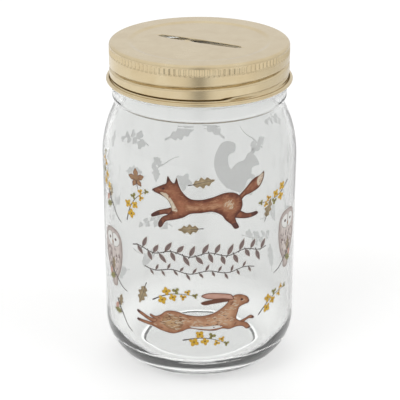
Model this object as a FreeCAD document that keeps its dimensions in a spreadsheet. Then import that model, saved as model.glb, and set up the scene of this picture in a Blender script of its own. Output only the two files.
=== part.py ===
"""Coin bank jar: a screw-top glass jar whose tinplate lid has a coin slot.

The origin is at the middle of the base, +Z points up through the mouth and the
jar's front faces -Y. Three pieces: the pressed glass jar, the drawn tinplate lid
and the soft sealing ring flowed into the lid's channel. Lengths are millimetres,
angles are degrees.
"""
import FreeCAD, Part
import os
import re

import Sketcher

SIZES = {
    # The whole jar
    "total_height": 136.7,
    "body_radius": 40.0,
    "glass_wall": 2.6,
    # Foot and heel of the glass
    "foot_inner_radius": 24.0,
    "push_up": 2.5,
    "heel_radius": 19.1,
    "heel_height": 17.8,
    "base_thickness": 5.0,
    "floor_rise": 1.4,
    "inner_heel_radius": 14.0,
    # Shoulder and neck of the glass; the bead stands just below the lid
    "shoulder_radius": 47.2,
    "neck_radius": 34.3,
    "finish_wall": 3.3,
    "notch_depth": 0.4,
    "bead_overhang": 1.1,
    "bead_gap": 0.85,
    "bead_height": 7.9,
    "bead_round": 0.8,
    "lip_round": 1.0,
    # Thread: glass ridge and the lid ridge that hooks under it
    "thread_pitch": 5.08,
    "thread_turns": 1.25,
    "thread_start": -78.0,
    "thread_rise": 4.75,
    "thread_depth": 1.2,
    "thread_root": 1.2,
    "thread_crest": 0.4,
    "thread_offset": 2.0,
    # Lid shell
    "lid_wall": 0.3,
    "lid_clearance": 0.4,
    "lid_skirt": 15.95,
    "lid_corner": 1.3,
    "curl_radius": 0.85,
    "curl_opening": 60.0,
    "panel_margin": 0.9,
    "panel_step": 1.4,
    "panel_depth": 0.8,
    "lid_groove_depth": 1.2,
    "lid_groove_root": 1.25,
    "lid_groove_crest": 0.35,
    "ridge_overrun": 2.0,
    # Coin slot
    "slot_length": 37.0,
    "slot_width": 3.6,
    "slot_angle": -27.0,
    # Knurled grip band
    "knurl_count": 112,
    "knurl_drop": 1.2,
    "knurl_height": 2.6,
    "knurl_tool_radius": 0.6,
    "knurl_depth": 0.12,
    # Sealing ring
    "liner_thickness": 0.8,
    "liner_overlap": 1.5,
    "liner_clearance": 0.3,
    "seal_gap": 0.1,
}

# Places worked out from the sizes above; each may use those before it.
PLACES = {
    "rim_height": "total_height - lid_wall - liner_thickness - seal_gap",
    "lid_bottom": "total_height - lid_skirt",
    "bead_top": "lid_bottom - bead_gap",
    "notch_height": "bead_top - bead_height",
    "mouth_radius": "neck_radius - finish_wall",
    "notch_radius": "neck_radius - notch_depth",
    "bead_radius": "neck_radius + bead_overhang",
    "shoulder_fall": "body_radius - notch_radius",
    "shoulder_low": "notch_height - sqrt(shoulder_radius ^ 2 - (shoulder_radius - shoulder_fall) ^ 2)",
    "inner_radius": "body_radius - glass_wall",
    "inner_shoulder": "shoulder_radius - glass_wall",
    "floor_edge_radius": "inner_radius - inner_heel_radius",
    "thread_low": "lid_bottom + thread_rise",
    "thread_radius": "neck_radius + thread_depth",
    "lid_inner_radius": "thread_radius + lid_clearance",
    "lid_radius": "lid_inner_radius + lid_wall",
    "panel_height": "total_height - panel_depth",
    "curl_across": "lid_inner_radius + curl_radius",
    "curl_height": "lid_bottom + curl_radius",
    "curl_bore": "curl_radius - lid_wall",
    "groove_low": "thread_low - thread_offset",
    "groove_bottom_radius": "lid_radius - lid_groove_depth",
    "ridge_low": "groove_low - thread_pitch * ridge_overrun / 360",
    "ridge_turns": "thread_turns + ridge_overrun / 180",
    "liner_top": "total_height - lid_wall",
    "liner_outer_radius": "lid_radius - lid_corner - liner_clearance",
    "liner_inner_radius": "mouth_radius - liner_overlap",
    "panel_radius": "liner_inner_radius - panel_step - panel_margin",
    "knurl_low": "total_height - knurl_drop - knurl_height",
}

document = FreeCAD.newDocument("CoinBankJar")
sheet = document.addObject("Spreadsheet::Sheet", "Sizes")
for row, (alias, size) in enumerate(SIZES.items(), start=1):
    sheet.set(f"A{row}", alias)
    sheet.set(f"B{row}", str(size))
    sheet.setAlias(f"B{row}", alias)
for row, (alias, formula) in enumerate(PLACES.items(), start=len(SIZES) + 1):
    sheet.set(f"A{row}", alias)
    sheet.set(f"B{row}", "=" + formula)
    sheet.setAlias(f"B{row}", alias)
document.recompute()


def linked(formula):
    """The formula with every alias pointing at the spreadsheet."""
    return re.sub(r"[a-z_]+", lambda word: "Sizes." + word[0]
                  if word[0] in SIZES or word[0] in PLACES else word[0], formula)


def value(formula):
    """The formula's number at the spreadsheet's present sizes."""
    return float(sheet.evalExpression(formula))


def new_body(label):
    """An empty PartDesign body."""
    body = document.addObject("PartDesign::Body", label.title().replace("_", ""))
    body.Label = label
    return body


def new_sketch(body, name, plane, height="0", turn="0"):
    """A sketch on one of the body's origin planes, lifted and turned about Z."""
    sketch = body.newObject("Sketcher::SketchObject", name)
    origin_plane = next(item for item in body.Origin.OriginFeatures if item.Role == plane)
    sketch.AttachmentSupport = [(origin_plane, "")]
    sketch.MapMode = "FlatFace"
    upward = FreeCAD.Vector(0, 0, 1) if plane == "XY_Plane" else FreeCAD.Vector(0, 1, 0)
    sketch.AttachmentOffset = FreeCAD.Placement(
        upward * value(height), FreeCAD.Rotation(upward, value(turn)))
    lift = "z" if plane == "XY_Plane" else "y"
    sketch.setExpression(f"AttachmentOffset.Base.{lift}", linked(height))
    sketch.setExpression("AttachmentOffset.Rotation.Angle", f"({linked(turn)}) * 1 deg")
    return sketch


def bind_point(sketch, geometry, position, across, up, name):
    """Dimension a point from the origin; a formula marked ~ is only a start value."""
    for kind, formula in (("DistanceX", across), ("DistanceY", up)):
        if formula.startswith("~"):
            continue
        constraint = Sketcher.Constraint(kind, -1, 1, geometry, position, value(formula))
        sketch.addConstraint(constraint)
        label = f"{name}_{'across' if kind == 'DistanceX' else 'up'}"
        sketch.renameConstraint(sketch.ConstraintCount - 1, label)
        sketch.setExpression(f"Constraints.{label}", linked(formula))


def start_point(across, up):
    """The vector where a point is drawn before the sketch is solved."""
    return FreeCAD.Vector(value(across.lstrip("~")), value(up.lstrip("~")), 0)


def draw_outline(sketch, corners):
    """Draw a closed outline.

    Each corner is (across, up) when a straight edge leaves it, or (across, up, turn,
    centre across, centre up) when an arc does; turn is +1 counter-clockwise, -1 clockwise.
    """
    ends = []
    for number, corner in enumerate(corners):
        first = start_point(*corner[:2])
        last = start_point(*corners[(number + 1) % len(corners)][:2])
        if len(corner) == 2:
            edge = Part.LineSegment(first, last)
            ends.append((1, 2))
        else:
            centre = start_point(*corner[3:])
            a, b = (first, last) if corner[2] > 0 else (last, first)
            circle = Part.Circle(centre, FreeCAD.Vector(0, 0, 1), (first - centre).Length)
            edge = Part.ArcOfCircle(circle, circle.parameter(a), circle.parameter(b))
            ends.append((1, 2) if corner[2] > 0 else (2, 1))
        sketch.addGeometry(edge, False)
    for number, corner in enumerate(corners):
        ahead = (number + 1) % len(corners)
        sketch.addConstraint(Sketcher.Constraint(
            "Coincident", number, ends[number][1], ahead, ends[ahead][0]))
        bind_point(sketch, number, ends[number][0], *corner[:2], f"corner_{number}")
        if len(corner) > 2:
            bind_point(sketch, number, 3, *corner[3:], f"centre_{number}")
    sketch.Visibility = False


def revolve(body, name, corners):
    """Turn a closed outline about Z into a full ring or vessel."""
    sketch = new_sketch(body, name + "Outline", "XZ_Plane")
    draw_outline(sketch, corners)
    turned = body.newObject("PartDesign::Revolution", name)
    turned.Profile = sketch
    turned.ReferenceAxis = (sketch, ["V_Axis"])
    turned.Angle = 360
    document.recompute()
    return turned


def wind_thread(body, name, kind, corners, turn, turns):
    """Sweep a closed section round the Z axis along the thread's helix."""
    sketch = new_sketch(body, name + "Section", "XZ_Plane", turn=turn)
    draw_outline(sketch, corners)
    helix = body.newObject(f"PartDesign::{kind}Helix", name)
    helix.Profile = sketch
    helix.ReferenceAxis = (sketch, ["V_Axis"])
    helix.Mode = "pitch-turns-angle"
    helix.Pitch = value("thread_pitch")
    helix.Turns = value(turns)
    helix.setExpression("Pitch", linked("thread_pitch"))
    helix.setExpression("Turns", linked(turns))
    document.recompute()
    return helix


def build_jar():
    """The one-piece glass jar: foot, wall, shoulder, bead and threaded finish."""
    body = new_body("jar")
    revolve(body, "Vessel", [
        ("0", "push_up", -1, "0", "~0 - foot_inner_radius ^ 2 / (2 * push_up)"),
        ("foot_inner_radius", "0"),
        ("~body_radius - heel_radius / 2", "0", 1, "body_radius - heel_radius", "heel_height"),
        ("body_radius", "heel_height"),
        ("body_radius", "shoulder_low", 1, "body_radius - shoulder_radius", "shoulder_low"),
        ("notch_radius", "~notch_height"),
        ("bead_radius", "notch_height + 2 * bead_round"),
        ("bead_radius", "bead_top - bead_round", 1, "bead_radius - bead_round", "~bead_top - bead_round"),
        ("bead_radius - bead_round", "bead_top"),
        ("neck_radius", "bead_top"),
        ("neck_radius", "rim_height - lip_round", 1, "neck_radius - lip_round", "~rim_height - lip_round"),
        ("neck_radius - lip_round", "rim_height"),
        ("mouth_radius + lip_round", "rim_height", 1, "mouth_radius + lip_round",
         "~rim_height - lip_round"),
        ("mouth_radius", "rim_height - lip_round"),
        ("mouth_radius", "~notch_height", -1, "body_radius - shoulder_radius", "shoulder_low"),
        ("inner_radius", "shoulder_low"),
        ("inner_radius", "base_thickness + inner_heel_radius", -1,
         "floor_edge_radius", "~base_thickness + inner_heel_radius"),
        ("floor_edge_radius", "base_thickness", 1,
         "0", "~0 - floor_edge_radius ^ 2 / (2 * floor_rise)"),
        ("0", "base_thickness + floor_rise"),
    ])
    wind_thread(body, "GlassThread", "Additive", [
        ("neck_radius - thread_depth / 2", "thread_low - thread_root"),
        ("neck_radius", "thread_low - thread_root"),
        ("thread_radius", "thread_low - thread_crest"),
        ("thread_radius", "thread_low + thread_crest"),
        ("neck_radius", "thread_low + thread_root"),
        ("neck_radius - thread_depth / 2", "thread_low + thread_root"),
    ], "thread_start", "thread_turns")
    return body


def build_lid():
    """The one-piece drawn lid: panel, corner, knurled skirt, thread, curl and coin slot."""
    body = new_body("lid_shell")
    revolve(body, "Shell", [
        ("0", "panel_height"),
        ("panel_radius", "panel_height"),
        ("panel_radius + panel_step", "total_height"),
        ("lid_radius - lid_corner", "total_height", -1,
         "lid_radius - lid_corner", "~total_height - lid_corner"),
        ("lid_radius", "total_height - lid_corner"),
        ("lid_radius", "curl_height", 1, "curl_across", "curl_height"),
        ("curl_across - curl_bore * cos(curl_opening * 1 deg)",
         "~curl_height + curl_bore * sin(curl_opening * 1 deg)"),
        ("curl_across - curl_radius * cos(curl_opening * 1 deg)",
         "~curl_height + curl_radius * sin(curl_opening * 1 deg)", -1, "curl_across", "curl_height"),
        ("lid_inner_radius", "curl_height"),
        ("lid_inner_radius", "total_height - lid_corner", 1,
         "lid_radius - lid_corner", "~total_height - lid_corner"),
        ("lid_radius - lid_corner", "total_height - lid_wall"),
        ("panel_radius + panel_step", "total_height - lid_wall"),
        ("panel_radius", "panel_height - lid_wall"),
        ("0", "panel_height - lid_wall"),
    ])
    knurl = new_sketch(body, "FluteOutline", "XY_Plane", height="knurl_low")
    knurl.addGeometry(Part.Circle(FreeCAD.Vector(value("lid_radius"), 0, 0),
                                  FreeCAD.Vector(0, 0, 1), value("knurl_tool_radius")), False)
    bind_point(knurl, 0, 3, "lid_radius + knurl_tool_radius - knurl_depth", "0", "flute")
    knurl.addConstraint(Sketcher.Constraint("Radius", 0, value("knurl_tool_radius")))
    knurl.renameConstraint(knurl.ConstraintCount - 1, "flute_radius")
    knurl.setExpression("Constraints.flute_radius", linked("knurl_tool_radius"))
    flute = cut_pocket(body, "Flute", knurl, "knurl_height", upward=True)
    pattern = body.newObject("PartDesign::PolarPattern", "Flutes")
    pattern.Originals = [flute]
    pattern.Axis = (knurl, ["N_Axis"])
    pattern.Angle = 360
    pattern.setExpression("Occurrences", linked("knurl_count"))
    body.Tip = pattern
    document.recompute()
    wind_thread(body, "LidRidge", "Additive", [
        ("lid_radius - lid_wall / 2", "ridge_low - lid_groove_root - lid_wall"),
        ("lid_inner_radius", "ridge_low - lid_groove_root - lid_wall"),
        ("groove_bottom_radius - lid_wall", "ridge_low - lid_groove_crest - lid_wall / 2"),
        ("groove_bottom_radius - lid_wall", "ridge_low + lid_groove_crest + lid_wall / 2"),
        ("lid_inner_radius", "ridge_low + lid_groove_root + lid_wall"),
        ("lid_radius - lid_wall / 2", "ridge_low + lid_groove_root + lid_wall"),
    ], "thread_start - ridge_overrun", "ridge_turns")
    wind_thread(body, "LidGroove", "Subtractive", [
        ("lid_radius + lid_wall", "groove_low - lid_groove_root - lid_wall / 2"),
        ("lid_radius", "groove_low - lid_groove_root"),
        ("groove_bottom_radius", "groove_low - lid_groove_crest"),
        ("groove_bottom_radius", "groove_low + lid_groove_crest"),
        ("lid_radius", "groove_low + lid_groove_root"),
        ("lid_radius + lid_wall", "groove_low + lid_groove_root + lid_wall / 2"),
    ], "thread_start", "thread_turns")
    slot = new_sketch(body, "SlotOutline", "XY_Plane", height="panel_height", turn="slot_angle")
    straight = "(slot_length - slot_width) / 2"
    draw_outline(slot, [
        (f"0 - {straight}", "0 - slot_width / 2"),
        (straight, "0 - slot_width / 2", 1, straight, "~0"),
        (straight, "slot_width / 2"),
        (f"0 - {straight}", "slot_width / 2", 1, f"0 - {straight}", "~0"),
    ])
    cut_pocket(body, "CoinSlot", slot, "2 * lid_wall", upward=False)
    return body


def cut_pocket(body, name, sketch, length, upward):
    """Cut a sketch through the body along Z, and make sure that it took metal away."""
    before = body.Shape.Volume
    pocket = body.newObject("PartDesign::Pocket", name)
    pocket.Profile = sketch
    pocket.setExpression("Length", linked(length))
    pocket.Reversed = upward
    document.recompute()
    if body.Shape.Volume >= before:
        raise RuntimeError(f"{name} cuts nothing")
    return pocket


def build_liner():
    """The soft sealing ring in the lid's channel, resting over the glass rim."""
    body = new_body("liner_ring")
    revolve(body, "Ring", [
        ("liner_inner_radius", "liner_top - liner_thickness / 2"),
        ("liner_inner_radius + liner_thickness / 2", "liner_top - liner_thickness"),
        ("liner_outer_radius", "liner_top - liner_thickness"),
        ("liner_outer_radius", "liner_top"),
        ("liner_inner_radius", "liner_top"),
    ])
    return body


def main():
    """Build every sub-part, check it and write its STEP file."""
    subparts = [build_jar(), build_lid(), build_liner()]
    document.recompute()
    for item in document.Objects:
        if "Invalid" in item.State or "Error" in item.State:
            raise RuntimeError(f"{item.Name} failed: {item.State}")
    os.makedirs("parts", exist_ok=True)
    for subpart in subparts:
        shape = subpart.Shape
        if shape.isNull() or not shape.isValid() or len(shape.Solids) != 1:
            raise RuntimeError(f"{subpart.Label} isn't one sound solid")
        shape.exportStep(f"parts/{subpart.Label}.step")
        print(f"{subpart.Label}: {shape.Volume:.1f} mm3, {len(shape.Faces)} faces")


main()
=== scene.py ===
"""Looks of a coin bank jar: printed glass, a gold screw lid with a coin slot, and its sealing ring.

Lengths are millimetres until a mesh is made, and metres after that. An angle round the jar is
measured from its front, -Y, and grows towards +X; heights grow from the surface it stands on.
"""
import logging
import math
import random
from dataclasses import dataclass, field
from enum import Enum
from typing import Callable

import bpy
import numpy as np
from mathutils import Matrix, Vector
from mathutils.geometry import delaunay_2d_cdt


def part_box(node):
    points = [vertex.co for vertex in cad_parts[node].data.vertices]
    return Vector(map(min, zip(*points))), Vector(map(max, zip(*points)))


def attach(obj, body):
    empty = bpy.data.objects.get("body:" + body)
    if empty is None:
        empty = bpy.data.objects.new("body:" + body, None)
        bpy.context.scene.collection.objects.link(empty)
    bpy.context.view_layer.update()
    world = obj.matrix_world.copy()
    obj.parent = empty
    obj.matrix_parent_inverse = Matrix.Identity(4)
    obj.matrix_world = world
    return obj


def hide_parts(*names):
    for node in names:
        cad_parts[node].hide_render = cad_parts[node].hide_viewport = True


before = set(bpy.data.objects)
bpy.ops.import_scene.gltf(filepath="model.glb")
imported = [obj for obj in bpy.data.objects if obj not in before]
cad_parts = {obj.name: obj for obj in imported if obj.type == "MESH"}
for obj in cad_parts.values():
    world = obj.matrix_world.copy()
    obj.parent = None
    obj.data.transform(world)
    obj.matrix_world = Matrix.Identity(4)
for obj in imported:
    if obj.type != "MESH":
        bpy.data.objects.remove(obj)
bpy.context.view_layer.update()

LOG = logging.getLogger("coin_bank_jar")
MM = 0.001
Point = tuple[float, float]


class Body(Enum):
    """The moving bodies that pieces ride on."""

    JAR = "jar_body"
    SEAL = "seal"
    LID = "lid"


class Slot(Enum):
    """The record's material slots."""

    GLASS = "clear_glass"
    GOLD = "gold_lacquer"
    SEAL = "sealing_compound"
    PRINT = "printed_enamel"


# ---------------------------------------------------------------- node sheets

class NodeSheet:
    """A material or world node tree with short calls to add and join nodes."""

    def __init__(self, tree: bpy.types.NodeTree) -> None:
        """Start from an empty tree."""
        self.tree = tree
        tree.nodes.clear()

    def add(self, kind: str, inputs: dict | None = None, **settings: object) -> bpy.types.Node:
        """Add a node.

        Args:
            kind: the node's class name without its "ShaderNode" start.
            inputs: socket name or number to a constant or to another node's output socket.
            settings: attributes of the node itself.

        Returns:
            The new node.
        """
        node = self.tree.nodes.new("ShaderNode" + kind)
        for name, setting in settings.items():
            setattr(node, name, setting)
        for socket, source in (inputs or {}).items():
            if isinstance(source, bpy.types.NodeSocket):
                self.tree.links.new(source, node.inputs[socket])
            else:
                node.inputs[socket].default_value = source
        return node

    def math(self, operation: str, *values: object) -> bpy.types.NodeSocket:
        """Add a maths node on numbers or sockets and return its output."""
        inputs = dict(enumerate(values))
        return self.add("Math", inputs, operation=operation).outputs[0]

    def place(self, space: str = "Object") -> bpy.types.NodeSocket:
        """The coordinates of the point being shaded."""
        return self.add("TexCoord").outputs[space]

    def bump(self, height: bpy.types.NodeSocket, strength: float,
             distance: float) -> bpy.types.NodeSocket:
        """Raise the surface by a height value and return the tilted normal."""
        return self.add("Bump", {"Height": height, "Strength": strength,
                                 "Distance": distance}).outputs[0]

    def surface(self, inputs: dict) -> None:
        """End the sheet with a Principled shader that has these inputs."""
        shader = self.add("BsdfPrincipled", inputs)
        self.add("OutputMaterial", {"Surface": shader.outputs[0]})

    def choose(self, flag: bpy.types.NodeSocket, when: object, other: object) -> bpy.types.NodeSocket:
        """Take one number where a flag is 1 and another where it is 0."""
        return self.add("Mix", {"Factor": flag, 2: other, 3: when}, data_type="FLOAT").outputs[0]

    def rise(self, value: bpy.types.NodeSocket, start: float, stop: float,
             top: float) -> bpy.types.NodeSocket:
        """Rise from 0 to top while a value goes from start to stop."""
        return self.add("MapRange", {"Value": value, "From Min": start, "From Max": stop,
                                     "To Max": top}).outputs[0]

    def ramp(self, factor: bpy.types.NodeSocket,
             stops: list[tuple[float, tuple]]) -> bpy.types.NodeSocket:
        """Map a 0 to 1 value onto colours.

        Args:
            factor: the value to map.
            stops: (position, colour) pairs in rising order.

        Returns:
            The colour output.
        """
        node = self.add("ValToRGB", {0: factor})
        elements = node.color_ramp.elements
        while len(elements) < len(stops):
            elements.new(0.5)
        for element, (position, colour) in zip(elements, stops):
            element.position = position
            element.color = (*colour, 1.0)
        return node.outputs[0]

    def noise(self, coordinate: bpy.types.NodeSocket, scale: float, detail: float = 3.0,
              roughness: float = 0.5) -> bpy.types.NodeSocket:
        """Add a noise texture, with its scale in cells per metre, and return its value."""
        return self.add("TexNoise", {"Vector": coordinate, "Scale": scale, "Detail": detail,
                                     "Roughness": roughness}).outputs[0]


def new_material(name: str) -> tuple[bpy.types.Material, NodeSheet]:
    """Make an empty node material.

    Args:
        name: the material's name.

    Returns:
        The material and its node sheet.
    """
    material = bpy.data.materials.new(name)
    material.use_nodes = True
    return material, NodeSheet(material.node_tree)


def linear(red: int, green: int, blue: int) -> tuple[float, float, float]:
    """Turn an 8-bit display colour into the linear colour that shaders take."""
    return tuple(((channel / 255 + 0.055) / 1.055) ** 2.4 if channel > 10 else channel / 3294.6
                 for channel in (red, green, blue))


# ---------------------------------------------------------------- finishes

@dataclass(frozen=True)
class ClearGlass:
    """Pressed clear glass with a faint waviness and a cool grey-green cast."""

    tint: tuple[float, float, float, float] = (0.978, 0.985, 0.978, 1.0)
    index: float = 1.5
    clearness: float = 0.96
    stretch: tuple[float, float, float] = (1.0, 1.0, 0.35)
    ripple_scale: float = 55.0
    ripple_height: float = 0.0009

    def make(self) -> bpy.types.Material:
        """Build the material.

        Returns:
            The finish.
        """
        material, sheet = new_material("clear_glass")
        stretched = sheet.add("Mapping", {"Vector": sheet.place(), "Scale": self.stretch}).outputs[0]
        ripple = sheet.noise(stretched, self.ripple_scale, 2.0)
        sheet.surface({
            "Base Color": self.tint, "Roughness": 0.0, "IOR": self.index,
            "Transmission Weight": self.clearness,
            "Normal": sheet.bump(ripple, 0.22, self.ripple_height)})
        return material


@dataclass(frozen=True)
class SatinGold:
    """Champagne-gold lacquer over tinplate: satin metal under a thin clear coat."""

    light: tuple[int, int, int] = (212, 196, 162)
    deep: tuple[int, int, int] = (202, 183, 146)
    smoothest: float = 0.2
    roughest: float = 0.31
    mottle_scale: float = 130.0
    grain_scale: float = 2600.0
    grain_height: float = 0.00002

    def make(self) -> bpy.types.Material:
        """Build the material.

        Returns:
            The finish.
        """
        material, sheet = new_material("gold_lacquer")
        place = sheet.place()
        mottle = sheet.noise(place, self.mottle_scale, 4.0, 0.6)
        colour = sheet.ramp(mottle, [(0.3, linear(*self.deep)), (0.7, linear(*self.light))])
        grain = sheet.noise(place, self.grain_scale, 2.0)
        roughness = sheet.add("MapRange", {"Value": mottle, "To Min": self.smoothest,
                                           "To Max": self.roughest}).outputs[0]
        sheet.surface({
            "Base Color": colour, "Metallic": 1.0, "Roughness": roughness,
            "Coat Weight": 0.25, "Coat Roughness": 0.22, "Coat IOR": 1.45,
            "Normal": sheet.bump(grain, 0.25, self.grain_height)})
        return material


@dataclass(frozen=True)
class SealingCompound:
    """Matt off-white plastisol with a faintly uneven skin."""

    light: tuple[int, int, int] = (232, 228, 216)
    deep: tuple[int, int, int] = (214, 208, 194)
    skin_scale: float = 420.0
    skin_height: float = 0.00008

    def make(self) -> bpy.types.Material:
        """Build the material.

        Returns:
            The finish.
        """
        material, sheet = new_material("sealing_compound")
        skin = sheet.noise(sheet.place(), self.skin_scale, 4.0)
        colour = sheet.ramp(skin, [(0.35, linear(*self.deep)), (0.65, linear(*self.light))])
        sheet.surface({
            "Base Color": colour, "Roughness": 0.55, "Subsurface Weight": 0.15,
            "Subsurface Radius": (0.001, 0.001, 0.0008),
            "Normal": sheet.bump(skin, 0.3, self.skin_height)})
        return material


# ---------------------------------------------------------------- meshes

def arc(centre: Point, radius: float, start: float, stop: float, steps: int) -> list[Point]:
    """Points along a circular arc.

    Args:
        centre: (distance from the axis, height) of the arc's centre.
        radius: its radius.
        start: first angle in degrees, 0 outwards and 90 up.
        stop: last angle in degrees.
        steps: how many stretches to divide it into.

    Returns:
        steps + 1 points.
    """
    return [(centre[0] + radius * math.cos(math.radians(a)), centre[1] + radius * math.sin(math.radians(a)))
            for a in np.linspace(start, stop, steps + 1)]


def line(first: Point, last: Point, steps: int) -> list[Point]:
    """Evenly spaced points on a straight line, without its last one."""
    return [(first[0] + (last[0] - first[0]) * k / steps, first[1] + (last[1] - first[1]) * k / steps)
            for k in range(steps)]


def around(radius: np.ndarray, angle: np.ndarray, height: np.ndarray) -> np.ndarray:
    """Stack points given by radius, angle from the front and height."""
    radius, angle, height = np.broadcast_arrays(radius, angle, height)
    return np.stack([radius * np.sin(angle), -radius * np.cos(angle), height], axis=-1)


def ease(share: np.ndarray) -> np.ndarray:
    """Turn a 0 to 1 ramp into one that starts and stops gently."""
    return share * share * (3 - 2 * share)


def bell(offset: np.ndarray | float, reach: float) -> np.ndarray | float:
    """A smooth hump: 1 at no offset, falling away over a reach."""
    return np.exp(-(offset / reach) ** 2)


def add_object(name: str, data: bpy.types.ID) -> bpy.types.Object:
    """Make an object and put it in the scene."""
    made = bpy.data.objects.new(name, data)
    bpy.context.scene.collection.objects.link(made)
    return made


def mesh_object(name: str, points: np.ndarray, faces: list, material: bpy.types.Material,
                smooth: bool = True) -> bpy.types.Object:
    """Make a mesh object from points in millimetres.

    Args:
        name: the object's name.
        points: an array of points, three numbers each.
        faces: lists of point numbers.
        material: its finish.
        smooth: whether its faces are shaded smooth.

    Returns:
        The linked object.
    """
    mesh = bpy.data.meshes.new(name)
    mesh.from_pydata((points * MM).tolist(), [], faces)
    mesh.polygons.foreach_set("use_smooth", [smooth] * len(mesh.polygons))
    mesh.materials.append(material)
    mesh.update()
    return add_object(name, mesh)


def ring_faces(rows: int, count: int, closed: bool) -> list[list[int]]:
    """Quads between neighbouring rings of points.

    Args:
        rows: how many rings there are.
        count: how many points each has.
        closed: whether the last ring also joins the first.

    Returns:
        Faces of four point numbers.
    """
    first = np.arange(rows if closed else rows - 1)[:, None] * count
    second = (first + count) % (rows * count)
    here = np.arange(count)[None, :]
    ahead = (here + 1) % count
    quads = np.stack([first + here, first + ahead, second + ahead, second + here], axis=-1)
    return quads.reshape(-1, 4).tolist()


def settle(piece: bpy.types.Object, body: Body, slot: Slot, *nodes: str) -> bpy.types.Object:
    """Let a piece ride on its body and hide the CAD nodes that it stands for.

    Args:
        piece: the object.
        body: the body that carries it.
        slot: the record's slot for its finish; not used.
        nodes: CAD nodes that it replaces.

    Returns:
        The same object.
    """
    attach(piece, body.value)
    if nodes:
        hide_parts(*nodes)
    LOG.info("%s rides on %s with %d faces", piece.name, body.value, len(piece.data.polygons))
    return piece


# ---------------------------------------------------------------- thread

@dataclass(frozen=True)
class Thread:
    """One right-hand start that both the glass and the lid follow."""

    pitch: float = 5.08
    turns: float = 1.25
    start: float = 12.0
    fade: float = 14.0

    def offsets(self, angle: np.ndarray, height: np.ndarray, low: float) -> list[tuple]:
        """How far points lie above the thread's middle line on each of its turns.

        Args:
            angle: angles from the front in radians.
            height: heights.
            low: the height of the middle line where the thread starts.

        Returns:
            (offset, strength) pairs, where strength fades to 0 past the thread's ends.
        """
        found = []
        for turn in range(-1, 3):
            along = np.degrees(angle) - self.start + 360 * turn
            inside = np.clip(along / self.fade, 0, 1) * np.clip(
                (360 * self.turns - along) / self.fade, 0, 1)
            middle = low + self.pitch * along / 360
            found.append((height - middle, ease(inside)))
        return found


# ---------------------------------------------------------------- glass

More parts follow.
